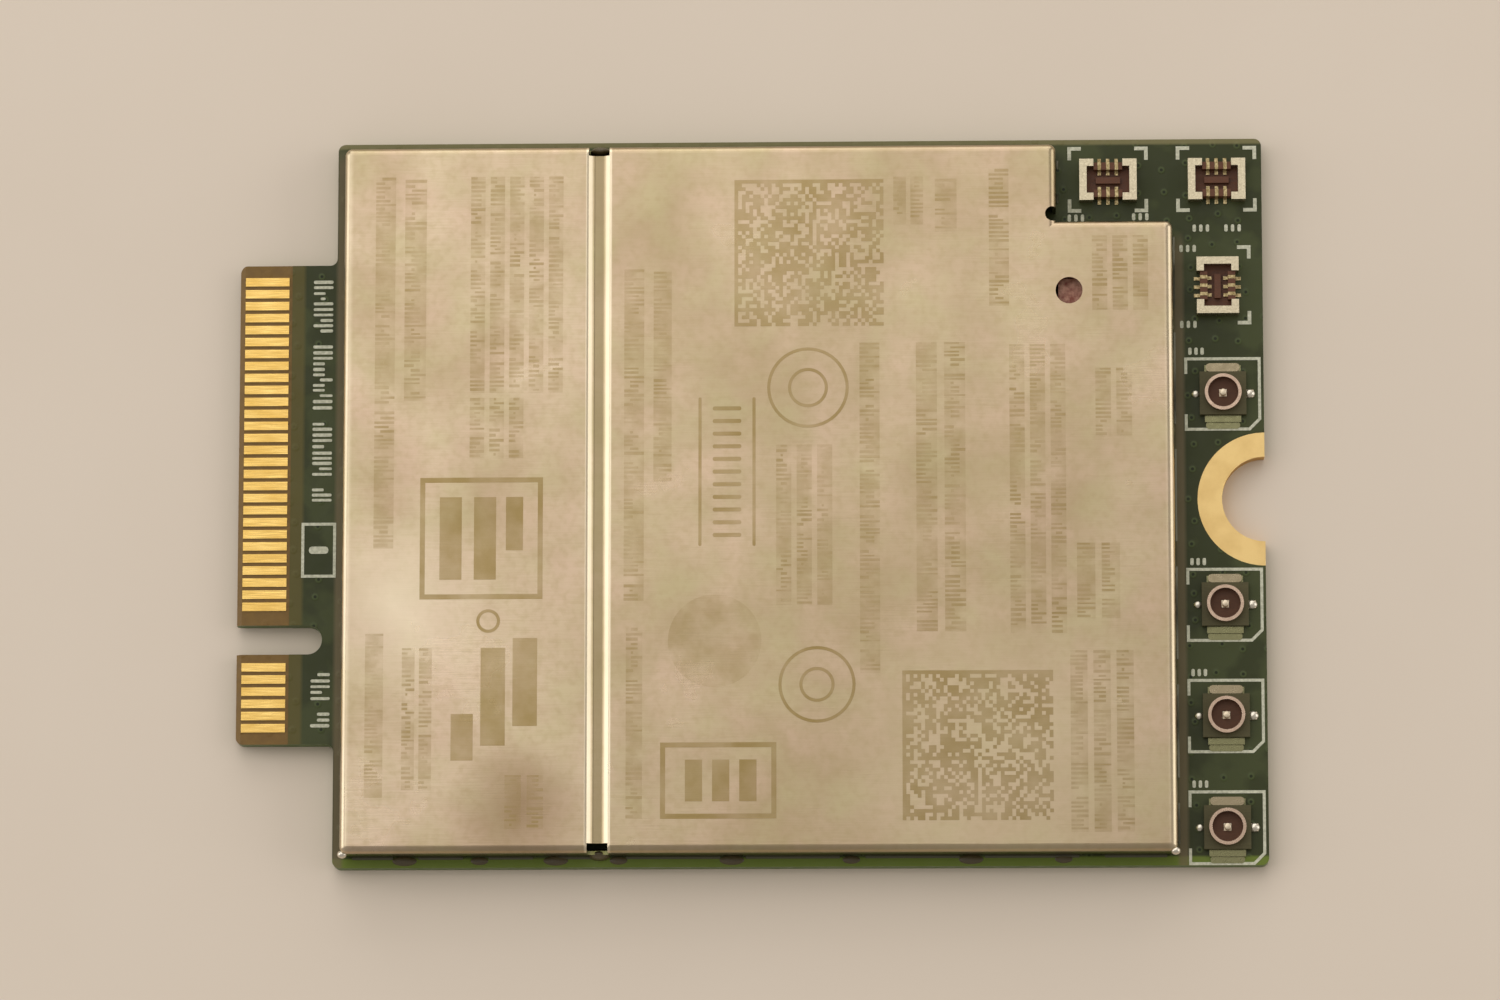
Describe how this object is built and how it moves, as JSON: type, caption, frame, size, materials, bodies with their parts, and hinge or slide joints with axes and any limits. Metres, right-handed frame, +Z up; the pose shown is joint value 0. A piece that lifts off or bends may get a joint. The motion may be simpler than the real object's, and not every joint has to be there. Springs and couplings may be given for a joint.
{
  "type": "wwan card",
  "caption": "Flat card-edge radio module: stepped metal shield can on a green board with a keyed gold-fingered tab, small antenna receptacles and a half-round screw notch.",
  "frame": {"origin": "middle of the card on its flat underside", "axes": "+X from the gold-fingered tab to the screw notch, +Y across the card towards the corner with the rectangular sockets, +Z up out of the component side"},
  "size_m": [0.042, 0.03, 0.0023],
  "materials": {
    "solder_mask": "dark green solder mask over glass-epoxy laminate, satin",
    "contact_gold": "gold flash over nickel, bright",
    "shield_sheet": "rolled copper-nickel-zinc sheet, satin, laser marked",
    "solder": "reflowed tin solder, dull bright",
    "receptacle_plating": "thin gold over copper alloy, bright",
    "receptacle_moulding": "liquid-crystal polymer, dark brown, matt",
    "clip_tin": "tin plated copper alloy, bright",
    "package_mould": "black epoxy mould compound",
    "oscillator_lid": "seam-sealed metal lid on ceramic",
    "inductor_ferrite": "pressed ferrite powder, dark grey",
    "capacitor_ceramic": "fired ceramic, tan",
    "gap_filler": "soft silicone gap filler, grey blue"
  },
  "bodies": {
    "root": {"circuit_board": "solder_mask", "edge_contacts_top": "contact_gold", "edge_contacts_bottom": "contact_gold", "screw_ground_pads": "contact_gold", "test_pads": "contact_gold", "shield_can": "shield_sheet", "shield_solder": "solder", "antenna_1_ground_shell": "receptacle_plating", "antenna_1_insulator": "receptacle_moulding", "antenna_1_signal_pin": "contact_gold", "antenna_2_ground_shell": "receptacle_plating", "antenna_2_insulator": "receptacle_moulding", "antenna_2_signal_pin": "contact_gold", "antenna_3_ground_shell": "receptacle_plating", "antenna_3_insulator": "receptacle_moulding", "antenna_3_signal_pin": "contact_gold", "antenna_4_ground_shell": "receptacle_plating", "antenna_4_insulator": "receptacle_moulding", "antenna_4_signal_pin": "contact_gold", "mmwave_1_housing": "receptacle_moulding", "mmwave_1_end_clips": "clip_tin", "mmwave_1_contacts": "contact_gold", "mmwave_2_housing": "receptacle_moulding", "mmwave_2_end_clips": "clip_tin", "mmwave_2_contacts": "contact_gold", "mmwave_3_housing": "receptacle_moulding", "mmwave_3_end_clips": "clip_tin", "mmwave_3_contacts": "contact_gold", "power_manager": "package_mould", "low_band_amplifier": "package_mould", "subscriber_identity_chip": "package_mould", "modem_processor": "package_mould", "memory_package": "package_mould", "rf_transceiver": "package_mould", "mmwave_transceiver": "package_mould", "front_end_module_1": "package_mould", "front_end_module_2": "package_mould", "front_end_module_3": "package_mould", "reference_oscillator": "oscillator_lid", "power_inductors": "inductor_ferrite", "input_capacitors": "capacitor_ceramic", "decoupling_capacitors": "capacitor_ceramic", "modem_thermal_pad": "gap_filler", "power_thermal_pad": "gap_filler"}
  },
  "joints": []
}
